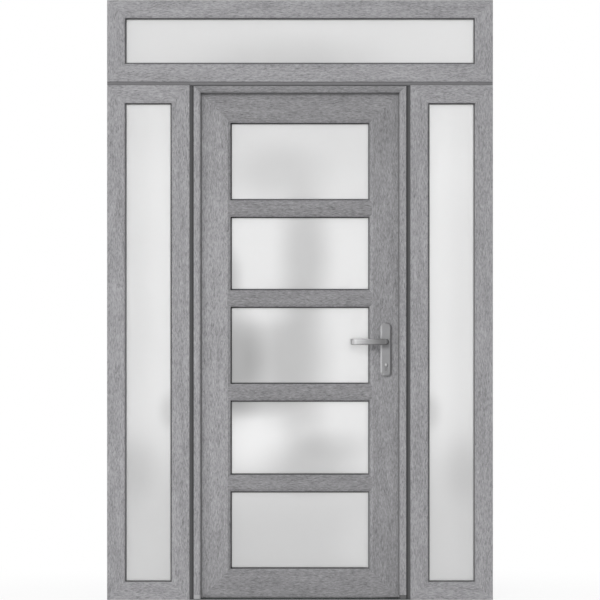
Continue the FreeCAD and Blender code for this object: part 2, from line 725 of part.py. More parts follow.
def handle_plate(label, outside):
    """Long plate with bevelled edges, bored for the lever and the cylinder."""
    body = doc.addObject("PartDesign::Body", f"{label}_body")
    side = "(plate_width / 2)"
    face = outline_sketch(body, "XZ_Plane", f"{label}_face", rounded_rectangle(
        f"(-{side})", "(-plate_lower_length)", side, "plate_upper_length", "plate_corner"))
    slab = pad(body, face, f"{label}_slab", "plate_thickness", backwards=not outside)
    doc.recompute()
    reach = slab.Shape.BoundBox.YMin if outside else slab.Shape.BoundBox.YMax
    front = next(number for number, skin in enumerate(slab.Shape.Faces, start=1)
                 if skin.BoundBox.YLength < 1e-6 and abs(skin.CenterOfMass.y - reach) < 1e-6)
    bevel = body.newObject("PartDesign::Chamfer", f"{label}_bevel")
    bevel.Base = (slab, [f"Face{front}"])
    bevel.ChamferType = "Two distances"
    bevel.setExpression("Size", bind("plate_bevel_depth"))
    bevel.setExpression("Size2", bind("plate_bevel_width"))
    bore = circle_sketch(body, "XZ_Plane", f"{label}_bore", [
        ("0", "0", "neck_radius + neck_clearance")])
    cut_through(body, bore, f"{label}_bore_cut")
    slot = outline_sketch(body, "XZ_Plane", f"{label}_slot", moved(
        euro_outline("cylinder_clearance"), "0", "(-cylinder_drop)"))
    cut_through(body, slot, f"{label}_slot_cut")
    place(body, HANDLE_X, LEAF_FRONT if outside else LEAF_BACK, "handle_height")
    keep(label, body)


def lever(label, outside):
    """Bowed lever whose tip returns to the door, on a round neck.

    Distances out from the leaf are written as positive, then given the side's sign.
    """
    body = doc.addObject("PartDesign::Body", f"{label}_body")
    sign, turn = ("-", 1) if outside else ("", -1)
    span = "((lever_length - lever_tip_radius) / (1 - lever_tip_radius / (2 * lever_bow_radius)))"
    lean = f"({span} / (2 * lever_bow_radius))"
    rise = f"sqrt(1 - {lean} * {lean})"
    tip = "(-lever_length)"
    inner_tip = "(-lever_length + lever_thickness)"
    inner_bend = "(lever_tip_radius - lever_thickness)"
    bend_x = "(-lever_length + lever_tip_radius)"
    bend_out = f"(lever_projection - lever_tip_radius * {rise})"
    end_out = "(lever_projection - lever_return)"
    under = f"(lever_projection - lever_thickness * {rise})"
    shape = [
        ("0", "lever_projection", "lever_bow_radius", turn),
        (f"{bend_x} - lever_tip_radius * {lean}", "lever_projection", "lever_tip_radius", turn),
        (tip, bend_out),
        (tip, end_out),
        (inner_tip, end_out),
        (inner_tip, bend_out, inner_bend, -turn),
        (f"{bend_x} - {inner_bend} * {lean}", under,
         "(lever_bow_radius - lever_thickness)", -turn),
        (f"-lever_thickness * {lean}", under),
    ]
    plan = outline_sketch(body, "XY_Plane", f"{label}_plan", [
        (x, f"{sign}{out}", *arc) for x, out, *arc in shape])
    arm = pad(body, plan, f"{label}_arm", "lever_height", symmetric=True)
    doc.recompute()
    flats = [f"Face{number}" for number, skin in enumerate(arm.Shape.Faces, start=1)
             if skin.BoundBox.ZLength < 1e-6]
    rounds = body.newObject("PartDesign::Fillet", f"{label}_rounds")
    rounds.Base = (arm, flats)
    rounds.setExpression("Radius", bind("lever_edge"))
    cap = "(lever_projection + neck_cap_rise)"
    neck = outline_sketch(body, "XY_Plane", f"{label}_neck", [
        ("0", f"{sign}neck_floor_gap"), ("neck_radius", f"{sign}neck_floor_gap"),
        ("neck_radius", f"{sign}({cap} - lever_edge)", "lever_edge", turn),
        ("neck_radius - lever_edge", f"{sign}{cap}"), ("0", f"{sign}{cap}")])
    turning = body.newObject("PartDesign::Revolution", f"{label}_turning")
    turning.Profile = neck
    turning.ReferenceAxis = (neck, ["V_Axis"])
    turning.Angle = 360
    if outside:
        half = "(spindle_side / 2)"
        square = outline_sketch(body, "XZ_Plane", f"{label}_square", [
            (f"-{half}", f"-{half}"), (half, f"-{half}"), (half, half), (f"-{half}", half)],
            offset="neck_floor_gap")
        pad(body, square, f"{label}_spindle", "leaf_thickness + 2 * neck_floor_gap",
            backwards=True)
    place(body, HANDLE_X, LEAF_FRONT if outside else LEAF_BACK, "handle_height")
    keep(label, body)


def lock():
    """Cylinder through the leaf, plate on the leaf's edge and strike on the jamb."""
    cylinder = doc.addObject("PartDesign::Body", "cylinder_body")
    face = outline_sketch(cylinder, "XZ_Plane", "cylinder_face", euro_outline("0"))
    stand = "(plate_thickness + cylinder_proud)"
    pad(cylinder, face, "cylinder_length", f"leaf_thickness + 2 * {stand}", backwards=True)
    place(cylinder, HANDLE_X, f"{LEAF_FRONT} - {stand}", "handle_height - cylinder_drop")
    keep("lock_cylinder", cylinder)
    edge_y = f"({LEAF_FRONT} + lock_plate_depth)"
    plate = edge_plate("lock_faceplate", "lock_plate_thickness", False)
    place(plate, LEAF_HALF, edge_y, "handle_height")
    strike = edge_plate("strike_plate", "strike_plate_thickness", True)
    place(strike, f"{DOOR_HALF} - {DOOR_REBATE}", edge_y, "handle_height")


def edge_plate(label, thickness, on_jamb):
    """Round-ended plate with two bolt mouths, open in the strike and blind in the lock."""
    body = doc.addObject("PartDesign::Body", f"{label}_body")
    half = "(lock_plate_width / 2)"
    face = outline_sketch(body, "YZ_Plane", f"{label}_face", rounded_rectangle(
        f"(-{half})", "(-lock_plate_lower_length)", half, "lock_plate_upper_length",
        "lock_plate_corner"))
    pad(body, face, f"{label}_slab", thickness, backwards=on_jamb)
    mouth_half = "(bolt_mouth_width / 2)"
    for name, middle in (("latch", "0"), ("bolt", "(-cylinder_drop)")):
        mouth = outline_sketch(body, "YZ_Plane", f"{label}_{name}", [
            (f"-{mouth_half}", f"{middle} - bolt_mouth_height / 2"),
            (mouth_half, f"{middle} - bolt_mouth_height / 2"),
            (mouth_half, f"{middle} + bolt_mouth_height / 2"),
            (f"-{mouth_half}", f"{middle} + bolt_mouth_height / 2")],
            offset="0" if on_jamb else thickness)
        if on_jamb:
            cut_through(body, mouth, f"{label}_{name}_cut")
        else:
            recess = body.newObject("PartDesign::Pocket", f"{label}_{name}_recess")
            recess.Profile = mouth
            recess.setExpression("Length", bind("bolt_mouth_depth"))
    keep(label, body)
    return body


def hardware():
    """Hinges, handle plates, levers and lock."""
    levels = ("bottom", "middle", "top")
    group("frame_hinges", [frame_hinge(level) for level in levels])
    group("leaf_hinges", [leaf_hinge(level) for level in levels])
    for side in ("outside", "inside"):
        handle_plate(f"{side}_plate", side == "outside")
        lever(f"{side}_lever", side == "outside")
    lock()


def check(document):
    """Stop if anything failed to build."""
    for thing in document.Objects:
        if {"Invalid", "Error"} & set(thing.State):
            raise RuntimeError(f"{thing.Label} failed: {thing.State}")
    for label, piece in nodes.items():
        if piece.Shape.isNull() or not piece.Shape.isValid() or not piece.Shape.Solids:
            raise RuntimeError(f"{label} has no valid solid")


def main():
    """Build every sub-part and write it to its own file."""
    fixed_lights()
    couplers()
    door_frame()
    leaf()
    hardware()
    doc.recompute()
    check(doc)
    os.makedirs("parts", exist_ok=True)
    for label, piece in nodes.items():
        piece.Shape.exportStep(f"parts/{label}.step")


main()
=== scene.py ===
"""Looks of a glazed entrance door with two sidelights and a transom light.

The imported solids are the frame. Finishes are made from nodes, and the small pieces that the
solids leave out are modelled here: screws, key plugs, latch and bolt, hinge caps, brush seal.
"""

import math

import bmesh
import bpy
from bpy.props import FloatProperty, FloatVectorProperty, PointerProperty
from mathutils import Matrix, Vector


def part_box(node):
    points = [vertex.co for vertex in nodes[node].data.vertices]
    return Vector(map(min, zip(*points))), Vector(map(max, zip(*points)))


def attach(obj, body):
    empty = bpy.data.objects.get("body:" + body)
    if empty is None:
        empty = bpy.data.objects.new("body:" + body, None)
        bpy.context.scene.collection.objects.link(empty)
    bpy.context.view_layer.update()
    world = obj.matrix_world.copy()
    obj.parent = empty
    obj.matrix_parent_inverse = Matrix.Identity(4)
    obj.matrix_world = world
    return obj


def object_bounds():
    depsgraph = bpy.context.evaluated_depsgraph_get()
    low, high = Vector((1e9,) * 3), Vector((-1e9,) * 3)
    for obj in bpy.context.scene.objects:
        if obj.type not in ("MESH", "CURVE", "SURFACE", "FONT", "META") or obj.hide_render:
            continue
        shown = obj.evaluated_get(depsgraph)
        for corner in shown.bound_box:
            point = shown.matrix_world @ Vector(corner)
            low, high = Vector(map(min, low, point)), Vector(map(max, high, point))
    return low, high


bl_info = {
    "name": "Door with sidelights",
    "version": (1, 0, 0),
    "blender": (4, 5, 0),
    "location": "View3D > Sidebar > Door",
    "description": "Finishes and small metalwork of a glazed entrance door",
    "category": "Object",
}

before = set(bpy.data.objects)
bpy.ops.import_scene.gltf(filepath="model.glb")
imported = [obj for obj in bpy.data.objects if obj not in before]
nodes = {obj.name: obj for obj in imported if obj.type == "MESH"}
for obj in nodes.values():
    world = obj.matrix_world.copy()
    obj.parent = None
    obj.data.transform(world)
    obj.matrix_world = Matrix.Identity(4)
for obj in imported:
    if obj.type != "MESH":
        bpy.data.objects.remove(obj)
CAD_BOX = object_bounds()

LIGHT_UPRIGHTS = (
    "left_sidelight_outer_jamb", "left_sidelight_inner_jamb", "right_sidelight_inner_jamb",
    "right_sidelight_outer_jamb", "transom_left_jamb", "transom_right_jamb",
)
LIGHT_LEVELS = (
    "left_sidelight_head", "left_sidelight_sill", "right_sidelight_head",
    "right_sidelight_sill", "transom_top_rail", "transom_bottom_rail",
)
LEAF_LEVELS = (
    "leaf_top_rail", "leaf_bottom_rail", "leaf_bottom_bar", "leaf_lower_bar",
    "leaf_upper_bar", "leaf_top_bar",
)
TURN_TO_LEVEL = (0.0, math.pi / 2, 0.0)
OUTWARDS, INWARDS = (0, -1, 0), (0, 1, 0)
TO_LOCK_SIDE, TO_HINGE_SIDE = (1, 0, 0), (-1, 0, 0)
UPWARDS, DOWNWARDS = (0, 0, 1), (0, 0, -1)
# Heights over the floor
LEVER_HEIGHT = 1.02
BOLT_HEIGHT = 0.928
HINGE_HEIGHTS = (0.25, 1.02, 1.79)
# Screws of a hinge flag, across from its free edge and up from its middle
FLAG_COLUMNS = (0.010, 0.026)
FLAG_ROWS = (-0.040, -0.014, 0.014, 0.040)
FLAG_TURN = 0.4
# Screws at both ends of a plate: piece, plate, body, direction, insets and turns
PLATE_SCREWS = (
    ("inside_plate_screws", "inside_plate", "leaf", INWARDS, (0.016, 0.012), (0.5, 1.1)),
    ("faceplate_screws", "lock_faceplate", "leaf", TO_LOCK_SIDE, (0.012, 0.012), (0.2, 0.9)),
    ("strike_screws", "strike_plate", "frame", TO_HINGE_SIDE, (0.012, 0.012), (0.7, 0.3)),
)
# Cuts of the keyway as width, low end and high end
KEYWAY_CUTS = ((0.0011, -0.0042, 0.0042), (0.0022, -0.0012, 0.0022))
TUFTS = 160
TUFT_STEPS = 3
NEAR = 1e-5
# Suns as name, strength, softness in degrees and direction
SUNS = (
    ("key_sun", 1.25, 22.0, (0.14, 1.0, -0.42)),
    ("back_sun", 1.15, 40.0, (-0.4, -1.0, -0.5)),
)
SOFTBOX_PLACE, SOFTBOX_AIM = (-3.7, -3.0, 1.3), (4.0, 3.0, -0.2)
SOFTBOX_POWER = 36.0
SENSOR = 36.0
DAYLIGHT = (0.41, 0.413, 0.42, 1.0)
FLOOR_TONE = (0.82, 0.82, 0.82, 1.0)
# Repeats a metre of each pattern in the finishes, along X, Y and Z
SCALES = {
    "waver": (9.0, 9.0, 7.0),
    "streak": (300.0, 300.0, 55.0),
    "band": (42.0, 42.0, 6.0),
    "pore": (450.0, 450.0, 75.0),
    "fleck": (360.0, 360.0, 95.0),
    "cloud": (4.0, 1.0, 3.0),
    "etching": (900.0, 900.0, 900.0),
    "lines": (2600.0, 2600.0, 60.0),
    "smudge": (38.0, 38.0, 30.0),
    "fine": (1300.0, 1300.0, 1300.0),
    "broad": (30.0, 30.0, 12.0),
}
# Share of each pattern in a finish's colour, and of waver in the grain's place
WEIGHTS = {
    "waver": 0.02, "band": 0.28, "pore": 0.26, "fleck": 0.22, "cloud": 0.06, "etching": 0.05,
    "lines": 0.16, "smudge": 0.14, "fine": 0.2, "broad": 0.3,
}
GRAIN_LEVEL = 1.02
PORE_RELIEF = 0.6
MOTTLED_GLOSS = 0.25
LINES_IN_GLOSS = 0.35
GLASS_TRANSMISSION = 0.8
WHITE = (1.0, 1.0, 1.0, 1.0)
# Painted shade as soft shapes: x, z, half width, half height and strength; below zero it is a painted
# highlight
# Painted shade on the leaf's stiles, darker towards its top and bottom and on the hinge stile's bevel,
# with a painted highlight on the lock stile's bevel
LEAF_PAINTED_SHADE = (
    (-0.07, 2.05, 0.7, 0.45, 0.14), (-0.07, -0.02, 0.7, 0.45, 0.14),
    (-0.280, 1.0, 0.006, 6.0, 0.17), (0.2835, 1.0, 0.005, 6.0, -0.14),
)
# Painted shade and painted light in the leaf's frosted glass, as soft dark and bright patches in its
# panes
LEAF_GLASS_PAINTED_SHADE = (
    (0.0, 1.86, 0.9, 0.30, 0.12), (-0.08, 1.69, 0.18, 0.11, 0.13), (0.02, 1.36, 0.10, 0.25, 0.28),
    (-0.28, 1.27, 0.05, 0.11, 0.24), (-0.245, 0.95, 0.10, 0.21, 0.45), (-0.04, 0.97, 0.15, 0.24, 0.33),
    (-0.13, 1.14, 0.12, 0.06, -0.12), (0.04, 0.53, 0.18, 0.11, 0.20), (-0.23, 0.775, 0.19, 0.055, 0.24),
    (0.02, 0.68, 0.09, 0.14, 0.12), (-0.20, 0.62, 0.15, 0.10, -0.08), (0.15, 0.61, 0.13, 0.06, 0.12),
    (-0.05, 0.20, 0.9, 0.30, 0.23), (0.25, 0.22, 0.12, 0.12, -0.08),
)
# Painted shade in the sidelights' frosted glass, darker towards the bottom, the top, the outer edges
# and in soft patches
SIDELIGHT_PAINTED_SHADE = (
    (-0.66, 1.2, 0.08, 0.9, 0.07), (0.66, 1.2, 0.08, 0.9, 0.07), (0.0, 0.20, 3.0, 0.42, 0.20),
    (0.0, 1.95, 3.0, 0.22, 0.05), (-0.65, 0.52, 0.09, 0.13, 0.11), (0.65, 0.52, 0.09, 0.13, 0.11),
    (-0.514, 0.745, 0.045, 0.07, 0.19), (0.514, 0.745, 0.045, 0.07, 0.19),
)
# Painted highlight near the lever's tip and painted shade towards its neck and on its end
LEVER_PAINTED_SHADE = (
    (0.347, 1.02, 0.112, 0.4, 0.65), (0.347, 1.02, 0.008, 0.4, 0.17), (0.2, 1.02, 0.003, 0.4, -0.7),
    (0.2065, 1.02, 0.0055, 0.4, 0.28), (0.2185, 1.02, 0.006, 0.4, -0.14),
    (0.256, 1.02, 0.022, 0.4, 0.07), (0.298, 1.02, 0.025, 0.4, -0.02),
)
# Painted shade on the plate's right and top bevels and painted highlights on its left bevel and lower
# left corner
PLATE_PAINTED_SHADE = (
    (0.361, 0.99, 0.005, 0.5, 0.4), (0.348, 1.0955, 0.012, 0.005, 0.45),
    (0.321, 0.99, 0.004, 0.5, -0.17), (0.326, 0.889, 0.008, 0.006, -0.5),
)
# Painted shadow on the lock cylinder's right side
CYLINDER_PAINTED_SHADE = ((0.347, 0.922, 0.004, 0.014, 0.6),)
# Painted shade on the sidelight gaskets next to the door and painted light on their outer sides
GASKET_PAINTED_SHADE = (
    (-0.510, 1.0, 0.02, 0.95, 0.6), (0.510, 1.0, 0.02, 0.95, 0.35),
    (-0.688, 1.0, 0.02, 0.95, -1.0), (0.688, 1.0, 0.02, 0.95, -0.6),
)
# Painted shade on the leaf's left gaskets and painted light on its right gaskets
LEAF_GASKET_PAINTED_SHADE = ((-0.2725, 1.0, 0.03, 3.0, 0.5), (0.2725, 1.0, 0.02, 6.0, -1.0))
# Painted shade on the groove strips, darker towards the door
STRIP_PAINTED_SHADE = ((-0.4195, 1.0, 0.010, 3.0, 0.66), (0.4195, 1.0, 0.010, 3.0, 0.66))
# Painted shade on the right end block and the right end of the brush carrier
END_BLOCK_PAINTED_SHADE = ((0.415, 0.01, 0.1, 0.2, 0.78),)
# Painted shadow along the couplers' lower edge
COUPLER_PAINTED_SHADE = ((0.0, 2.0335, 3.0, 0.004, 0.22),)
# Painted shade in the transom's frosted glass, darkest low in the middle
TRANSOM_PAINTED_SHADE = ((-0.05, 2.10, 0.40, 0.12, 0.13), (0.0, 2.2, 2.0, 0.5, 0.13))


def colour(name, description, value):
    """Colour property for a finish."""
    return FloatVectorProperty(name=name, description=description, default=value, size=3,
                               subtype="COLOR", min=0.0, max=1.0)


def length(name, description, value):
    """Length property in metres."""
    return FloatProperty(name=name, description=description, default=value, unit="LENGTH",
                         min=0.0)


class DoorFinishes(bpy.types.PropertyGroup):
    """Colours of the finishes."""
    # The hinge stile, lock stile and rail foils are one foil in three tones; the darker lock stile and
    # rail copies are painted shade
    frame_foil: colour("Frame foil", "Wood-grain foil of the fixed frames", (0.309, 0.305, 0.315))
    leaf_foil: colour("Leaf foil", "Wood-grain foil of the hinge stile", (0.33, 0.326, 0.336))
    shaded_lock_foil: colour("Lock stile foil", "Wood-grain foil of the lock stile", (0.272, 0.269, 0.277))
    shaded_rail_foil: colour("Rail foil", "Wood-grain foil of rails and bars", (0.243, 0.24, 0.247))
    glass: colour("Glass", "Frosted glass", (0.805, 0.805, 0.805))
    gasket: colour("Gasket", "Gaskets of the fixed lights", (0.12, 0.12, 0.122))
    leaf_gasket: colour("Leaf gasket", "Gaskets of the leaf", (0.085, 0.085, 0.087))
    seal: colour("Seal", "Weather seals behind the stop and the back lip", (0.17, 0.17, 0.172))
    brush: colour("Brush", "Brush seal under the leaf", (0.085, 0.085, 0.086))
    strip: colour("Strip", "Strips at the back of the grooves", (0.116, 0.116, 0.119))
    coupler: colour("Coupler", "Plain couplers under the transom", (0.155, 0.153, 0.159))
    end_block: colour("End block", "Plain blocks under the door frame", (0.38, 0.377, 0.385))
    handle: colour("Handle plate", "Satin metal of the plates", (0.205, 0.205, 0.209))
    # The lever's brighter tip and darker neck are painted highlight and painted shade, laid on by its
    # soft shapes
    lever: colour("Lever", "Satin metal of the levers, polished at the grip", (0.45, 0.45, 0.455))
    lock: colour("Lock", "Bright metal of the lock's edge plates", (0.42, 0.415, 0.41))
    screw: colour("Screws", "Dull metal of the screws", (0.25, 0.248, 0.246))
    cylinder: colour("Cylinder", "Satin metal of the lock cylinder", (0.165, 0.165, 0.167))
    plug: colour("Key plug", "Polished metal of the key plugs", (0.27, 0.27, 0.272))
    hinge: colour("Hinge", "Coating of the hinges", (0.30, 0.30, 0.305))
    # The threshold's dark tone is partly dark aluminium and partly painted shade under the leaf's foot
    threshold: colour("Threshold", "Aluminium of the threshold", (0.08, 0.081, 0.083))


class DoorSizes(bpy.types.PropertyGroup):
    """Sizes of the small pieces and the stage."""
    screw_radius: length("Screw radius", "Head of a plate or hinge screw", 0.0038)
    screw_depth: length("Screw depth", "Thickness of a screw's head", 0.0012)
    screw_edge: length("Screw edge", "Rounding of a screw's head", 0.0006)
    slot_width: length("Slot width", "Width of a screw's cross slot", 0.0009)
    slot_length: length("Slot length", "Length of a screw's cross slot", 0.0042)
    slot_floor: length("Slot floor", "Metal left under a screw's slot", 0.0004)
    flag_width: length("Flag width", "Width of a hinge's flag on the leaf", 0.036)
    flag_thickness: length("Flag thickness", "Thickness of a hinge's flag", 0.004)
    hinge_length: length("Hinge length", "Barrel of a hinge from end to end", 0.107)
    plug_radius: length("Plug radius", "Turning plug of the lock cylinder", 0.0062)
    plug_stand: length("Plug stand", "Plug in front of the cylinder", 0.0008)
    latch_stand: length("Latch stand", "Latch nose out of its plate", 0.0035)
    bolt_root: length("Bolt root", "Latch and bolt into their plate", 0.0015)
    bolt_sink: length("Bolt sink", "Dead bolt's end behind its plate", 0.0002)
    bolt_thickness: length("Bolt thickness", "Latch and bolt from front to back", 0.011)
    bolt_height: length("Bolt height", "Latch and bolt from foot to top", 0.029)
    bolt_edge: length("Bolt edge", "Rounding of latch and bolt", 0.0004)
    cap_height: length("Cap height", "Domed end of a hinge barrel", 0.003)
    brush_setback: length("Brush setback", "Brush carrier behind the leaf's face", 0.004)
    brush_end_gap: length("Brush end gap", "Brush short of the leaf's edge", 0.0005)
    brush_floor_gap: length("Brush floor gap", "Brush above the threshold", 0.0006)
    carrier_width: length("Carrier width", "Brush carrier from front to back", 0.007)
    carrier_height: length("Carrier height", "Brush carrier under the leaf", 0.0025)
    brush_thickness: length("Brush thickness", "Brush from front to back", 0.0028)
    tuft_step: length("Tuft step", "Difference of neighbouring tufts", 0.0004)
    floor_radius: length("Floor radius", "Radius of the pale floor", 9.0)
    floor_drop: length("Floor drop", "Pale floor under the threshold", 0.001)
    softbox_width: length("Softbox width", "Width of the lamp at the side", 1.6)
    softbox_height: length("Softbox height", "Height of the lamp at the side", 2.6)
    lamp_height: length("Lamp height", "Suns above the floor", 4.0)
    camera_distance: length("Camera distance", "Camera to the outside face", 20.0)


# Node trees

def add_node(tree, kind, **settings):
    """New node of a kind with its settings."""
    node = tree.nodes.new(kind)
    for key, value in settings.items():
        setattr(node, key, value)
    return node


def feed(tree, node, **sockets):
    """Set or link a node's inputs by name, with underscores for spaces."""
    for key, value in sockets.items():
        socket = node.inputs[key.replace("_", " ")]
        if isinstance(value, bpy.types.NodeSocket):
            tree.links.new(value, socket)
        else:
            socket.default_value = value
    return node


def reckon(tree, operation, first, second, clamp=False):
    """Output of a Math node on two values or sockets."""
    node = add_node(tree, "ShaderNodeMath", operation=operation, use_clamp=clamp)
    for place, value in enumerate((first, second)):
        if isinstance(value, bpy.types.NodeSocket):
            tree.links.new(value, node.inputs[place])
        else:
            node.inputs[place].default_value = value
    return node.outputs[0]


def stretch(tree, vector, scale):
    """Vector times a scale for each axis."""
    node = add_node(tree, "ShaderNodeVectorMath", operation="MULTIPLY")
    tree.links.new(vector, node.inputs[0])
    node.inputs[1].default_value = scale
    return node.outputs[0]


def noise(tree, vector, scale, detail=2.0, roughness=0.5, distortion=0.0):
    """Noise stretched by a scale for each axis."""
    node = add_node(tree, "ShaderNodeTexNoise")
    feed(tree, node, Vector=stretch(tree, vector, scale), Scale=1.0, Detail=detail,
         Roughness=roughness, Distortion=distortion)
    return node.outputs["Fac"]


def ramp(tree, value, low, high, bottom, top, smooth=False):
    """Value brought from one range to another."""
    node = add_node(tree, "ShaderNodeMapRange", clamp=True)
    node.interpolation_type = "SMOOTHSTEP" if smooth else "LINEAR"
    feed(tree, node, Value=value, From_Min=low, From_Max=high, To_Min=bottom, To_Max=top)
    return node.outputs["Result"]


def swing(tree, pattern, weight):
    """A pattern's departure from its middle, times a weight."""
    return reckon(tree, "MULTIPLY", reckon(tree, "SUBTRACT", pattern, 0.5), weight)


def mottled(tree, first, first_weight, second, second_weight):
    """Grey factor of about one that two patterns vary."""
    both = reckon(tree, "ADD", reckon(tree, "MULTIPLY", first, first_weight),
                  reckon(tree, "MULTIPLY", second, second_weight))
    return reckon(tree, "ADD", both, 1.0 - (first_weight + second_weight) / 2)


def dimmed(tree, factor, shade_value):
    """Grey factor lowered by painted shade."""
    return reckon(tree, "MULTIPLY", factor, reckon(tree, "SUBTRACT", 1.0, shade_value))


def scaled_colour(tree, tone, factor):
    """Colour times a grey factor."""
    node = add_node(tree, "ShaderNodeVectorMath", operation="SCALE")
    tree.links.new(tone, node.inputs[0])
    tree.links.new(factor, node.inputs["Scale"])
    return node.outputs[0]


def seen_ray(tree):
    """One for rays from the camera, off gloss or through glass, and zero for light."""
    path = add_node(tree, "ShaderNodeLightPath")
    bent = reckon(tree, "MAXIMUM", path.outputs["Is Glossy Ray"], path.outputs["Is Transmission Ray"])
    return reckon(tree, "MAXIMUM", path.outputs["Is Camera Ray"], bent)


def new_group(name, inputs, outputs):
    """Empty node group with its sockets, and its two end nodes."""
    tree = bpy.data.node_groups.new(name, "ShaderNodeTree")
    kinds = {"Vector": "NodeSocketVector", "Tone": "NodeSocketColor", "Color": "NodeSocketColor"}
    for socket in inputs:
        tree.interface.new_socket(socket, in_out="INPUT",
                                  socket_type=kinds.get(socket, "NodeSocketFloat"))
    for socket in outputs:
        tree.interface.new_socket(socket, in_out="OUTPUT",
                                  socket_type=kinds.get(socket, "NodeSocketFloat"))
    return tree, tree.nodes.new("NodeGroupInput").outputs, tree.nodes.new("NodeGroupOutput")


def grain_group():
    """Embossed wood grain that runs along Z: streaks, bands, dark pores and pale flecks."""
    tree, given, out = new_group("Foil grain", ("Vector", "Tone", "Contrast", "Shade"),
                                 ("Color", "Roughness", "Height"))
    waver = noise(tree, given["Vector"], SCALES["waver"])
    shift = add_node(tree, "ShaderNodeCombineXYZ")
    push = swing(tree, waver, WEIGHTS["waver"])
    tree.links.new(push, shift.inputs["X"])
    tree.links.new(push, shift.inputs["Y"])
    bent = add_node(tree, "ShaderNodeVectorMath", operation="ADD")
    tree.links.new(given["Vector"], bent.inputs[0])
    tree.links.new(shift.outputs[0], bent.inputs[1])
    line = bent.outputs[0]
    streak = noise(tree, line, SCALES["streak"], detail=3.0, roughness=0.65, distortion=0.2)
    band = noise(tree, line, SCALES["band"])
    pore = ramp(tree, noise(tree, line, SCALES["pore"], detail=1.0), 0.56, 0.70, 0.0, 1.0)
    fleck = ramp(tree, noise(tree, line, SCALES["fleck"], detail=1.0), 0.60, 0.74, 0.0, 1.0)
    light = reckon(tree, "SUBTRACT", streak, 0.5)
    both = reckon(tree, "ADD", light, swing(tree, band, WEIGHTS["band"]))
    both = reckon(tree, "MULTIPLY", both, given["Contrast"])
    dark = reckon(tree, "MULTIPLY", pore, WEIGHTS["pore"])
    pale = reckon(tree, "MULTIPLY", fleck, WEIGHTS["fleck"])
    plain = reckon(tree, "ADD", reckon(tree, "ADD", both, GRAIN_LEVEL), pale)
    factor = dimmed(tree, reckon(tree, "SUBTRACT", plain, dark), given["Shade"])
    tree.links.new(scaled_colour(tree, given["Tone"], factor), out.inputs["Color"])
    tree.links.new(ramp(tree, streak, 0.3, 0.7, 0.62, 0.46), out.inputs["Roughness"])
    height = reckon(tree, "SUBTRACT", streak, reckon(tree, "MULTIPLY", pore, PORE_RELIEF))
    tree.links.new(height, out.inputs["Height"])
    return tree


def shape_group():
    """One soft oval of painted shade, or painted light below zero, in the plane of the door, full
    strength inside and fading out.
    """
    tree, given, out = new_group(
        "Painted shade shape", ("Vector", "Middle X", "Middle Z", "Half Width", "Half Height", "Strength"),
        ("Value",))
    split = add_node(tree, "ShaderNodeSeparateXYZ")
    tree.links.new(given["Vector"], split.inputs[0])
    across = reckon(tree, "SUBTRACT", split.outputs["X"], given["Middle X"])
    across = reckon(tree, "DIVIDE", across, given["Half Width"])
    along = reckon(tree, "SUBTRACT", split.outputs["Z"], given["Middle Z"])
    along = reckon(tree, "DIVIDE", along, given["Half Height"])
    reach = reckon(tree, "ADD", reckon(tree, "MULTIPLY", across, across),
                   reckon(tree, "MULTIPLY", along, along))
    mask = ramp(tree, reckon(tree, "POWER", reach, 0.5), 0.25, 1.45, 1.0, 0.0, smooth=True)
    tree.links.new(reckon(tree, "MULTIPLY", mask, given["Strength"]), out.inputs["Value"])
    return tree


def frosting_group():
    """Etched surface of frosted glass, with slight clouding, dimmed by painted shade and brightened by
    painted light.
    """
    tree, given, out = new_group("Frosting", ("Vector", "Tone", "Shade"),
                                 ("Color", "Roughness", "Height"))
    soft = noise(tree, given["Vector"], SCALES["cloud"], detail=1.0, roughness=0.4)
    etched = noise(tree, given["Vector"], SCALES["etching"])
    cloud = swing(tree, soft, WEIGHTS["cloud"])
    fine = swing(tree, etched, WEIGHTS["etching"])
    bright = reckon(tree, "ADD", reckon(tree, "ADD", fine, cloud), 1.0)
    factor = reckon(tree, "SUBTRACT", bright, given["Shade"])
    tree.links.new(scaled_colour(tree, given["Tone"], factor), out.inputs["Color"])
    tree.links.new(ramp(tree, etched, 0.3, 0.7, 0.34, 0.5), out.inputs["Roughness"])
    tree.links.new(etched, out.inputs["Height"])
    return tree


def brushing_group():
    """Fine brushed lines along Z with soft smudges, for satin metal."""
    tree, given, out = new_group(
        "Satin brushing", ("Vector", "Tone", "Sheen Low", "Sheen High", "Shade"),
        ("Color", "Roughness", "Height"))
    lines = noise(tree, given["Vector"], SCALES["lines"])
    smudge = noise(tree, given["Vector"], SCALES["smudge"], detail=3.0)
    factor = mottled(tree, lines, WEIGHTS["lines"], smudge, WEIGHTS["smudge"])
    factor = dimmed(tree, factor, given["Shade"])
    tree.links.new(scaled_colour(tree, given["Tone"], factor), out.inputs["Color"])
    spread = reckon(tree, "ADD", reckon(tree, "MULTIPLY", lines, LINES_IN_GLOSS),
                    reckon(tree, "MULTIPLY", smudge, 1.0 - LINES_IN_GLOSS))
    gloss = ramp(tree, spread, 0.3, 0.7, given["Sheen Low"], given["Sheen High"])
    tree.links.new(gloss, out.inputs["Roughness"])
    tree.links.new(lines, out.inputs["Height"])
    return tree


def moulded_group():
    """Slight mottling and fine texture of moulded rubber, plastic and powder coating."""
    tree, given, out = new_group("Moulded skin", ("Vector", "Tone", "Base Roughness", "Shade"),
                                 ("Color", "Roughness", "Height"))
    fine = noise(tree, given["Vector"], SCALES["fine"])
    broad = noise(tree, given["Vector"], SCALES["broad"], detail=3.0)
    factor = mottled(tree, fine, WEIGHTS["fine"], broad, WEIGHTS["broad"])
    factor = dimmed(tree, factor, given["Shade"])
    tree.links.new(scaled_colour(tree, given["Tone"], factor), out.inputs["Color"])
    change = swing(tree, broad, MOTTLED_GLOSS)
    tree.links.new(reckon(tree, "ADD", change, given["Base Roughness"]), out.inputs["Roughness"])
    tree.links.new(fine, out.inputs["Height"])
    return tree


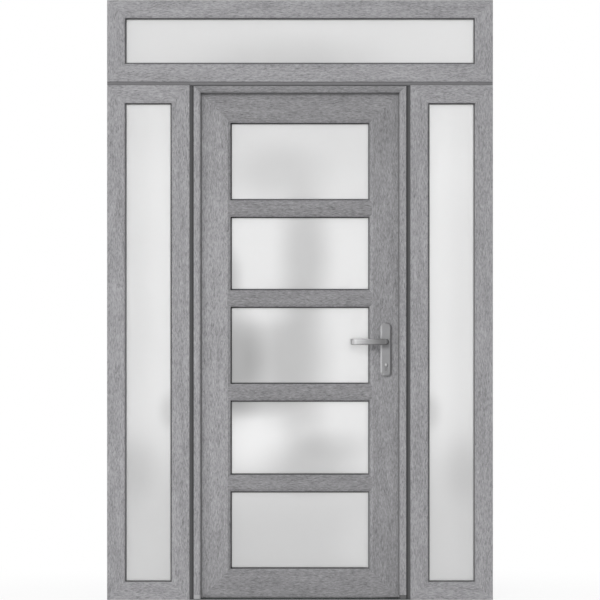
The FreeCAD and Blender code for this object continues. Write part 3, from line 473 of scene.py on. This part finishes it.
def finish(name, group, tone, bump, depth, turn=(0.0, 0.0, 0.0), shift=(0.0, 0.0, 0.0),
           metallic=0.0, specular=0.5, **values):
    """Material whose colour, roughness and bump come from one node group."""
    material = bpy.data.materials.new(name)
    material.use_nodes = True
    tree = material.node_tree
    shader = tree.nodes["Principled BSDF"]
    shader.inputs["Metallic"].default_value = metallic
    shader.inputs["Specular IOR Level"].default_value = specular
    place = add_node(tree, "ShaderNodeTexCoord")
    mapping = add_node(tree, "ShaderNodeMapping")
    feed(tree, mapping, Vector=place.outputs["Object"], Rotation=turn, Location=shift)
    effect = add_node(tree, "ShaderNodeGroup", node_tree=group)
    feed(tree, effect, Vector=mapping.outputs["Vector"], Tone=(*tone, 1.0), **values)
    relief = add_node(tree, "ShaderNodeBump")
    feed(tree, relief, Height=effect.outputs["Height"], Strength=bump, Distance=depth)
    feed(tree, shader, Base_Color=effect.outputs["Color"], Roughness=effect.outputs["Roughness"],
         Normal=relief.outputs["Normal"])
    material.diffuse_color = (*tone, 1.0)
    return material


def shade(material, shapes):
    """Feed a finish's painted shade from soft shapes (x, z, half width, half height, strength)."""
    tree = material.node_tree
    effect = next(node for node in tree.nodes if node.type == "GROUP")
    place = next(node for node in tree.nodes if node.type == "TEX_COORD").outputs["Object"]
    total = None
    for x, z, half_width, half_height, strength in shapes:
        shape = add_node(tree, "ShaderNodeGroup", node_tree=bpy.data.node_groups["Painted shade shape"])
        feed(tree, shape, Vector=place, Middle_X=x, Middle_Z=z, Half_Width=half_width,
             Half_Height=half_height, Strength=strength)
        value = shape.outputs["Value"]
        total = value if total is None else reckon(tree, "ADD", total, value)
    tree.links.new(total, effect.inputs["Shade"])
    return material


def dress(material, *names):
    """Put a material on CAD nodes."""
    for name in names:
        slots = nodes[name].material_slots
        for slot in slots:
            slot.material = material
        if not slots:
            raise RuntimeError(f"{name} has no material slot")


# Modelling

def clear_selection():
    """Leave object mode with nothing selected."""
    if bpy.context.mode != "OBJECT":
        bpy.ops.object.mode_set(mode="OBJECT")
    bpy.ops.object.select_all(action="DESELECT")


def pick_edges(test):
    """Select the edges of the mesh in edit mode that pass a test."""
    mesh = bmesh.from_edit_mesh(bpy.context.object.data)
    bpy.ops.mesh.select_mode(type="EDGE")
    bpy.ops.mesh.select_all(action="DESELECT")
    for edge in mesh.edges:
        edge.select_set(test(edge))
    mesh.select_flush_mode()
    bmesh.update_edit_mesh(bpy.context.object.data)


def disc(name, radius, depth, sides=32):
    """Upright disc standing on the origin, in edit mode."""
    clear_selection()
    bpy.ops.mesh.primitive_cylinder_add(vertices=sides, radius=radius, depth=depth,
                                        location=(0, 0, depth / 2))
    piece = bpy.context.object
    piece.name = name
    bpy.ops.object.transform_apply(location=True, rotation=True, scale=True)
    bpy.ops.object.mode_set(mode="EDIT")
    return piece


def slab(name, low, high):
    """Box between two corners, in edit mode."""
    clear_selection()
    middle = (Vector(low) + Vector(high)) / 2
    bpy.ops.mesh.primitive_cube_add(size=1, location=middle, scale=Vector(high) - Vector(low))
    piece = bpy.context.object
    piece.name = name
    bpy.ops.object.transform_apply(location=True, rotation=True, scale=True)
    bpy.ops.object.mode_set(mode="EDIT")
    return piece


def cut_away(piece, tool):
    """Take one piece out of another and drop it."""
    clear_selection()
    bpy.context.view_layer.objects.active = piece
    piece.select_set(True)
    cut = piece.modifiers.new("cut", "BOOLEAN")
    cut.operation = "DIFFERENCE"
    cut.solver = "EXACT"
    cut.object = tool
    bpy.ops.object.modifier_apply(modifier="cut")
    mesh = tool.data
    bpy.data.objects.remove(tool)
    bpy.data.meshes.remove(mesh)


def smooth(piece, angle=35.0):
    """Shade a piece smooth except at its sharp edges."""
    clear_selection()
    bpy.context.view_layer.objects.active = piece
    piece.select_set(True)
    bpy.ops.object.shade_smooth_by_angle(angle=math.radians(angle))


def copies(pattern, name, places):
    """One piece made of copies of a pattern, each with its own mesh, at given matrices."""
    made = []
    for matrix in places:
        copy = pattern.copy()
        copy.data = pattern.data.copy()
        copy.data.transform(matrix)
        bpy.context.scene.collection.objects.link(copy)
        made.append(copy)
    clear_selection()
    for copy in made:
        copy.select_set(True)
    bpy.context.view_layer.objects.active = made[0]
    if len(made) > 1:
        bpy.ops.object.join()
    made[0].name = name
    made[0].data.name = name
    return made[0]


def drop(piece):
    """Remove a pattern that only its copies needed."""
    mesh = piece.data
    bpy.data.objects.remove(piece)
    bpy.data.meshes.remove(mesh)


def facing(direction, position, spin=0.0):
    """Matrix that stands a +Z pattern on a point, facing a direction."""
    turn = Vector((0, 0, 1)).rotation_difference(Vector(direction)).to_matrix().to_4x4()
    return Matrix.Translation(position) @ turn @ Matrix.Rotation(spin, 4, "Z")


def settle(piece, body, material):
    """Give a finished piece its material and the body it rides on."""
    piece.data.materials.clear()
    piece.data.materials.append(material)
    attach(piece, body)


def finished(name):
    """Finished material by name."""
    return bpy.data.materials[name]


class DOOR_OT_frames(bpy.types.Operator):
    """Wood-grain foil on the frames, the leaf and the beads"""
    bl_idname = "door_unit.frames"
    bl_label = "Foil on frames"

    def execute(self, context):
        tones = context.scene.door_finishes
        grain = grain_group()
        shape_group()
        look = {"bump": 0.35, "depth": 0.0006, "specular": 0.35, "Contrast": 1.8}
        dress(finish("frame_foil_upright", grain, tones.frame_foil, **look), *LIGHT_UPRIGHTS)
        dress(finish("frame_foil_level", grain, tones.frame_foil, turn=TURN_TO_LEVEL, **look),
              *LIGHT_LEVELS)
        dress(finish("strip_foil_upright", grain, tones.frame_foil, shift=(0.3, 0.1, 0.7), **look),
              "door_frame_hinge_jamb", "door_frame_lock_jamb")
        # The door frame's head takes the darker rail tone and a painted shade of 0.08
        dress(finish("strip_foil_level", grain, tones.shaded_rail_foil, turn=TURN_TO_LEVEL, Shade=0.08,
                     **look), "door_frame_head")
        dress(shade(finish("hinge_stile_foil", grain, tones.leaf_foil, shift=(0.0, 0.2, 0.4), **look),
                    LEAF_PAINTED_SHADE), "leaf_hinge_stile")
        dress(shade(finish("lock_stile_foil", grain, tones.shaded_lock_foil, shift=(0.0, 0.4, 0.1), **look),
                    LEAF_PAINTED_SHADE), "leaf_lock_stile")
        dress(finish("shaded_rail_foil", grain, tones.shaded_rail_foil, turn=TURN_TO_LEVEL,
                     shift=(0.2, 0.0, 0.6), **look), *LEAF_LEVELS)
        dress(finish("bead_foil_upright", grain, tones.frame_foil, shift=(0.6, 0.3, 0.2), **look),
              "fixed_light_beads_upright", "leaf_beads_upright")
        dress(finish("bead_foil_level", grain, tones.frame_foil, turn=TURN_TO_LEVEL,
                     shift=(0.5, 0.2, 0.3), **look),
              "fixed_light_beads_level", "leaf_beads_level")
        return {"FINISHED"}


class DOOR_OT_glass(bpy.types.Operator):
    """Frosted glass in every light"""
    bl_idname = "door_unit.glass"
    bl_label = "Frosted glass"

    def execute(self, context):
        tones = context.scene.door_finishes
        frosting = frosting_group()
        panes = (
            ("sidelight_frosted", SIDELIGHT_PAINTED_SHADE, ("left_sidelight_glass", "right_sidelight_glass")),
            ("transom_frosted", TRANSOM_PAINTED_SHADE, ("transom_glass",)),
            ("leaf_frosted", LEAF_GLASS_PAINTED_SHADE, ("leaf_glass",)),
        )
        for name, shapes, glazed in panes:
            pane = shade(finish(name, frosting, tones.glass, bump=0.12, depth=0.0002), shapes)
            shader = pane.node_tree.nodes["Principled BSDF"]
            shader.inputs["Transmission Weight"].default_value = GLASS_TRANSMISSION
            dress(pane, *glazed)
        return {"FINISHED"}


class DOOR_OT_seals(bpy.types.Operator):
    """Gaskets, seals, groove strips, couplers, end blocks and threshold"""
    bl_idname = "door_unit.seals"
    bl_label = "Seals and couplers"

    def execute(self, context):
        tones = context.scene.door_finishes
        skin = moulded_group()
        soft = {"bump": 0.25, "depth": 0.0002, "specular": 0.3, "Base Roughness": 0.62}
        dress(shade(finish("gasket_rubber", skin, tones.gasket, **soft), GASKET_PAINTED_SHADE),
              "fixed_light_gaskets")
        dress(shade(finish("leaf_gasket_rubber", skin, tones.leaf_gasket, **soft), LEAF_GASKET_PAINTED_SHADE),
              "leaf_gaskets")
        dress(finish("seal_rubber", skin, tones.seal, **soft), "frame_weather_seal",
              "leaf_weather_seal")
        strip = finish("dark_strip", skin, tones.strip, bump=0.2, depth=0.0002, specular=0.3,
                       **{"Base Roughness": 0.55})
        dress(shade(strip, STRIP_PAINTED_SHADE), "groove_strips")
        coupler = finish("plain_plastic", skin, tones.coupler, bump=0.15, depth=0.0002,
                         **{"Base Roughness": 0.5})
        dress(shade(coupler, COUPLER_PAINTED_SHADE), "transom_couplers")
        ends = finish("end_block_plastic", skin, tones.end_block, bump=0.15, depth=0.0002,
                      **{"Base Roughness": 0.5})
        dress(shade(ends, END_BLOCK_PAINTED_SHADE), "threshold_end_blocks")
        brushing = brushing_group()
        # Dark aluminium with painted shade under the leaf in its tone
        sill = finish("mill_aluminium", brushing, tones.threshold, bump=0.15, depth=0.0001,
                      turn=TURN_TO_LEVEL, metallic=1.0,
                      **{"Sheen Low": 0.3, "Sheen High": 0.48})
        dress(sill, "threshold")
        return {"FINISHED"}


class DOOR_OT_metalwork(bpy.types.Operator):
    """Satin handles, bright lock parts and coated hinges"""
    bl_idname = "door_unit.metalwork"
    bl_label = "Metal finishes"

    def execute(self, context):
        tones = context.scene.door_finishes
        brushing = bpy.data.node_groups["Satin brushing"]
        skin = bpy.data.node_groups["Moulded skin"]
        satin = {"metallic": 1.0, "Sheen Low": 0.3, "Sheen High": 0.44}
        plate = finish("satin_handle", brushing, tones.handle, bump=0.1, depth=0.0001, **satin)
        dress(shade(plate, PLATE_PAINTED_SHADE), "outside_plate", "inside_plate")
        barrel = finish("cylinder_metal", brushing, tones.cylinder, bump=0.1, depth=0.0001, **satin)
        dress(shade(barrel, CYLINDER_PAINTED_SHADE), "lock_cylinder")
        arm = finish("satin_lever", brushing, tones.lever, bump=0.1, depth=0.0001,
                     turn=TURN_TO_LEVEL, **satin)
        dress(shade(arm, LEVER_PAINTED_SHADE), "outside_lever", "inside_lever")
        steel = finish("lock_steel", brushing, tones.lock, bump=0.1, depth=0.0001, metallic=1.0,
                       **{"Sheen Low": 0.24, "Sheen High": 0.36})
        dress(steel, "lock_faceplate", "strike_plate")
        finish("key_plug_metal", brushing, tones.plug, bump=0.1, depth=0.0001, **satin)
        finish("screw_steel", brushing, tones.screw, bump=0.1, depth=0.0001, **satin)
        coating = finish("hinge_coating", skin, tones.hinge, bump=0.2, depth=0.0002,
                         **{"Base Roughness": 0.42})
        dress(coating, "frame_hinges", "leaf_hinges")
        return {"FINISHED"}


class DOOR_OT_screws(bpy.types.Operator):
    """Domed cross-slot screws on the hinges, the inside plate and the lock plates"""
    bl_idname = "door_unit.screws"
    bl_label = "Screws"

    def execute(self, context):
        sizes = context.scene.door_sizes
        pattern = self.pattern(sizes)
        steel = finished("screw_steel")
        flag_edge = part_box("leaf_hinges")[1].x - sizes.flag_width
        flag_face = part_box("leaf_hinge_stile")[1].y + sizes.flag_thickness
        places = []
        for height in HINGE_HEIGHTS:
            for column in FLAG_COLUMNS:
                for row in FLAG_ROWS:
                    point = (flag_edge + column, flag_face, height + row)
                    places.append(facing(INWARDS, point, FLAG_TURN * len(places)))
        settle(copies(pattern, "hinge_screws", places), "leaf", steel)
        for name, plate, body, direction, insets, turns in PLATE_SCREWS:
            low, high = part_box(plate)
            point = (low + high) / 2
            for axis in range(2):
                if direction[axis]:
                    point[axis] = high[axis] if direction[axis] > 0 else low[axis]
            places = [facing(direction, (point.x, point.y, high.z - insets[0]), turns[0]),
                      facing(direction, (point.x, point.y, low.z + insets[1]), turns[1])]
            settle(copies(pattern, name, places), body, steel)
        drop(pattern)
        return {"FINISHED"}

    def pattern(self, sizes):
        """One domed head with a cross slot."""
        head = disc("screw", sizes.screw_radius, sizes.screw_depth, 20)
        pick_edges(lambda edge: all(v.co.z > sizes.screw_depth * 0.8 for v in edge.verts))
        bpy.ops.mesh.bevel(offset=sizes.screw_edge, segments=3, affect="EDGES")
        bpy.ops.object.mode_set(mode="OBJECT")
        for across, along in ((sizes.slot_width, sizes.slot_length),
                              (sizes.slot_length, sizes.slot_width)):
            blade = slab("blade", (-across / 2, -along / 2, sizes.slot_floor),
                         (across / 2, along / 2, sizes.screw_depth * 2.5))
            bpy.ops.object.mode_set(mode="OBJECT")
            cut_away(head, blade)
        smooth(head)
        return head


class DOOR_OT_key_plugs(bpy.types.Operator):
    """Turning plug with its keyway on both ends of the lock cylinder"""
    bl_idname = "door_unit.key_plugs"
    bl_label = "Key plugs"

    def execute(self, context):
        sizes = context.scene.door_sizes
        stand = sizes.plug_stand
        plug = disc("plug", sizes.plug_radius, stand, 40)
        pick_edges(lambda edge: all(v.co.z > stand * 0.9 for v in edge.verts))
        bpy.ops.mesh.bevel(offset=stand * 0.5, segments=2, affect="EDGES")
        bpy.ops.object.mode_set(mode="OBJECT")
        for across, low_end, high_end in KEYWAY_CUTS:
            blade = slab("keyway", (-across / 2, low_end, stand * 0.1),
                         (across / 2, high_end, stand * 3))
            bpy.ops.object.mode_set(mode="OBJECT")
            cut_away(plug, blade)
        smooth(plug)
        low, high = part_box("lock_cylinder")
        radius = (high.x - low.x) / 2
        x, z = low.x + radius, high.z - radius
        outside = facing(OUTWARDS, (x, low.y, z))
        inside = facing(INWARDS, (x, high.y, z), math.pi)
        settle(copies(plug, "key_plugs", [outside, inside]), "leaf",
               finished("key_plug_metal"))
        drop(plug)
        return {"FINISHED"}


class DOOR_OT_bolts(bpy.types.Operator):
    """Bevelled latch nose and dead bolt in the mouths of the lock's edge plate"""
    bl_idname = "door_unit.bolts"
    bl_label = "Latch and bolt"

    def execute(self, context):
        sizes = context.scene.door_sizes
        stand = sizes.latch_stand
        low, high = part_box("lock_faceplate")
        middle = (low.y + high.y) / 2
        root = high.x - sizes.bolt_root
        half = Vector((0, sizes.bolt_thickness / 2, sizes.bolt_height / 2))
        for name, height, reach in (("latch_nose", LEVER_HEIGHT, stand),
                                    ("dead_bolt", BOLT_HEIGHT, -sizes.bolt_sink)):
            piece = slab(name, Vector((root, middle, height)) - half,
                         Vector((high.x + reach, middle, height)) + half)
            if reach > 0:
                pick_edges(lambda edge: all(v.co.x > high.x and v.co.y > middle for v in edge.verts))
                bpy.ops.transform.translate(value=(-stand * 0.85, 0, 0))
            pick_edges(lambda edge: all(v.co.x > root + sizes.bolt_root / 5 for v in edge.verts))
            bpy.ops.mesh.bevel(offset=sizes.bolt_edge, segments=2, affect="EDGES")
            smooth(piece)
            settle(piece, "leaf", finished("lock_steel"))
        return {"FINISHED"}


class DOOR_OT_hinge_caps(bpy.types.Operator):
    """Domed caps on the ends of the hinge barrels"""
    bl_idname = "door_unit.hinge_caps"
    bl_label = "Hinge caps"

    def execute(self, context):
        sizes = context.scene.door_sizes
        height = sizes.cap_height
        low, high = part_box("leaf_hinges")
        radius = (high.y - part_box("leaf_hinge_stile")[1].y) / 2
        x, y = low.x + radius, high.y - radius
        cap = disc("cap", radius, height, 32)
        pick_edges(lambda edge: all(v.co.z > height * 0.9 for v in edge.verts))
        bpy.ops.mesh.bevel(offset=height * 0.8, segments=4, affect="EDGES")
        bpy.ops.object.mode_set(mode="OBJECT")
        smooth(cap, 50.0)
        places = []
        for middle in HINGE_HEIGHTS:
            places.append(facing(UPWARDS, (x, y, middle + sizes.hinge_length / 2)))
            places.append(facing(DOWNWARDS, (x, y, middle - sizes.hinge_length / 2)))
        settle(copies(cap, "hinge_caps", places), "frame", finished("hinge_coating"))
        drop(cap)
        return {"FINISHED"}


class DOOR_OT_foot_brush(bpy.types.Operator):
    """Brush seal in its carrier under the leaf's bottom rail"""
    bl_idname = "door_unit.foot_brush"
    bl_label = "Brush seal"

    def execute(self, context):
        sizes = context.scene.door_sizes
        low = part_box("leaf_bottom_rail")[0]
        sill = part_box("threshold")[1].z
        front = low.y + sizes.brush_setback
        middle = front + sizes.carrier_width / 2
        left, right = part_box("frame_weather_seal")
        ends = (left.x + sizes.brush_end_gap, right.x - sizes.brush_end_gap)
        carrier = slab("brush_carrier", (ends[0], front, low.z - sizes.carrier_height),
                       (ends[1], front + sizes.carrier_width, low.z))
        pick_edges(lambda edge: all(v.co.z < low.z - sizes.carrier_height / 2 for v in edge.verts))
        bpy.ops.mesh.bevel(offset=sizes.carrier_height * 0.4, segments=2, affect="EDGES")
        smooth(carrier)
        # The carrier takes the end blocks' finish, whose painted shade darkens its right end
        settle(carrier, "leaf", finished("end_block_plastic"))
        half = sizes.brush_thickness / 2
        foot = sill + sizes.brush_floor_gap
        brush = slab("foot_brush", (ends[0], middle - half, foot),
                     (ends[1], middle + half, low.z - sizes.carrier_height * 0.6))
        pick_edges(lambda edge: abs(edge.verts[0].co.x - edge.verts[1].co.x) > NEAR)
        bpy.ops.mesh.subdivide(number_cuts=TUFTS)
        pick_edges(lambda edge: all(v.co.z < foot + NEAR for v in edge.verts)
                   and abs(edge.verts[0].co.x - edge.verts[1].co.x) < NEAR)
        mesh = bmesh.from_edit_mesh(brush.data)
        tufts = sorted((edge for edge in mesh.edges if edge.select),
                       key=lambda edge: edge.verts[0].co.x)
        for row, edge in enumerate(tufts):
            for corner in edge.verts:
                corner.co.z += sizes.tuft_step * (row % TUFT_STEPS)
        bmesh.update_edit_mesh(brush.data)
        smooth(brush)
        skin = bpy.data.node_groups["Moulded skin"]
        bristles = finish("bristles", skin, context.scene.door_finishes.brush, bump=0.4, depth=0.0004,
                          specular=0.2, **{"Base Roughness": 0.8})
        settle(brush, "leaf", bristles)
        return {"FINISHED"}


class DOOR_OT_stage(bpy.types.Operator):
    """Pale floor, soft daylight and the camera straight in front of the door"""
    bl_idname = "door_unit.stage"
    bl_label = "Stage"

    def execute(self, context):
        scene = context.scene
        sizes = scene.door_sizes
        scene.view_settings.view_transform = "Standard"
        clear_selection()
        bpy.ops.mesh.primitive_circle_add(vertices=96, radius=sizes.floor_radius, fill_type="NGON",
                                          location=(0, 0, -sizes.floor_drop))
        floor = context.object
        floor.name = "floor"
        bpy.ops.object.transform_apply(location=True, rotation=True, scale=True)
        paint = bpy.data.materials.new("pale_floor")
        paint.use_nodes = True
        shader = paint.node_tree.nodes["Principled BSDF"]
        shader.inputs["Base Color"].default_value = FLOOR_TONE
        shader.inputs["Roughness"].default_value = 0.8
        self.whiten(paint.node_tree)
        floor.data.materials.append(paint)
        self.light_world(scene)
        for name, strength, softness, aim in SUNS:
            bpy.ops.object.light_add(type="SUN", location=(0, 0, sizes.lamp_height))
            lamp = context.object
            lamp.name = name
            lamp.data.energy = strength
            lamp.data.angle = math.radians(softness)
            lamp.rotation_euler = Vector(aim).to_track_quat("-Z", "Y").to_euler()
        bpy.ops.object.light_add(type="AREA", location=SOFTBOX_PLACE)
        side = context.object
        side.name = "side_softbox"
        side.data.shape = "RECTANGLE"
        side.data.size = sizes.softbox_width
        side.data.size_y = sizes.softbox_height
        side.data.energy = SOFTBOX_POWER
        side.rotation_euler = Vector(SOFTBOX_AIM).to_track_quat("-Z", "Y").to_euler()
        low, high = CAD_BOX
        reach = sizes.camera_distance
        height = high[2] - low[2]
        bpy.ops.object.camera_add(location=(0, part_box("transom_top_rail")[0].y - reach, height / 2),
                                  rotation=(math.pi / 2, 0, 0))
        camera = context.object
        camera.data.sensor_width = SENSOR
        camera.data.lens = SENSOR * reach / height
        scene.camera = camera
        return {"FINISHED"}

    def whiten(self, tree):
        """Show the floor white to the camera and in reflections, with a faint shadow by the door."""
        seen = seen_ray(tree)
        glow = add_node(tree, "ShaderNodeEmission")
        feed(tree, glow, Color=WHITE, Strength=1.0)
        mix = add_node(tree, "ShaderNodeMixShader")
        place = add_node(tree, "ShaderNodeTexCoord")
        distance = add_node(tree, "ShaderNodeVectorMath", operation="LENGTH")
        tree.links.new(place.outputs["Object"], distance.inputs[0])
        white = ramp(tree, distance.outputs["Value"], 0.5, 2.6, 0.85, 1.0, smooth=True)
        tree.links.new(reckon(tree, "MULTIPLY", seen, white), mix.inputs[0])
        tree.links.new(tree.nodes["Principled BSDF"].outputs[0], mix.inputs[1])
        tree.links.new(glow.outputs[0], mix.inputs[2])
        tree.links.new(mix.outputs[0], tree.nodes["Material Output"].inputs["Surface"])

    def light_world(self, scene):
        """Grey daylight on the object, with white where the camera, gloss and glass look."""
        world = bpy.data.worlds.new("daylight")
        world.use_nodes = True
        scene.world = world
        tree = world.node_tree
        day = tree.nodes["Background"]
        feed(tree, day, Color=DAYLIGHT, Strength=1.0)
        white = add_node(tree, "ShaderNodeBackground")
        feed(tree, white, Color=WHITE, Strength=1.0)
        seen = seen_ray(tree)
        mix = add_node(tree, "ShaderNodeMixShader")
        tree.links.new(seen, mix.inputs[0])
        tree.links.new(day.outputs[0], mix.inputs[1])
        tree.links.new(white.outputs[0], mix.inputs[2])
        tree.links.new(mix.outputs[0], tree.nodes["World Output"].inputs["Surface"])


class DOOR_PT_panel(bpy.types.Panel):
    """Finishes, sizes and pieces of the door"""
    bl_label = "Door with sidelights"
    bl_idname = "DOOR_PT_panel"
    bl_space_type = "VIEW_3D"
    bl_region_type = "UI"
    bl_category = "Door"

    def draw(self, context):
        for group in (context.scene.door_finishes, context.scene.door_sizes):
            for key in group.__annotations__:
                self.layout.prop(group, key)
        for step in STEPS:
            self.layout.operator(step.bl_idname)


STEPS = (
    DOOR_OT_frames, DOOR_OT_glass, DOOR_OT_seals, DOOR_OT_metalwork, DOOR_OT_screws,
    DOOR_OT_key_plugs, DOOR_OT_bolts, DOOR_OT_hinge_caps, DOOR_OT_foot_brush, DOOR_OT_stage,
)
CLASSES = (DoorFinishes, DoorSizes, *STEPS, DOOR_PT_panel)


def register():
    """Register the classes and hang the properties on the scene."""
    for item in CLASSES:
        bpy.utils.register_class(item)
    bpy.types.Scene.door_finishes = PointerProperty(type=DoorFinishes)
    bpy.types.Scene.door_sizes = PointerProperty(type=DoorSizes)


def unregister():
    """Take the properties and classes away again."""
    del bpy.types.Scene.door_sizes
    del bpy.types.Scene.door_finishes
    for item in reversed(CLASSES):
        bpy.utils.unregister_class(item)


def main():
    """Build every piece in order."""
    register()
    bpy.ops.door_unit.frames()
    bpy.ops.door_unit.glass()
    bpy.ops.door_unit.seals()
    bpy.ops.door_unit.metalwork()
    bpy.ops.door_unit.screws()
    bpy.ops.door_unit.key_plugs()
    bpy.ops.door_unit.bolts()
    bpy.ops.door_unit.hinge_caps()
    bpy.ops.door_unit.foot_brush()
    bpy.ops.door_unit.stage()


if __name__ == "__main__":
    main()
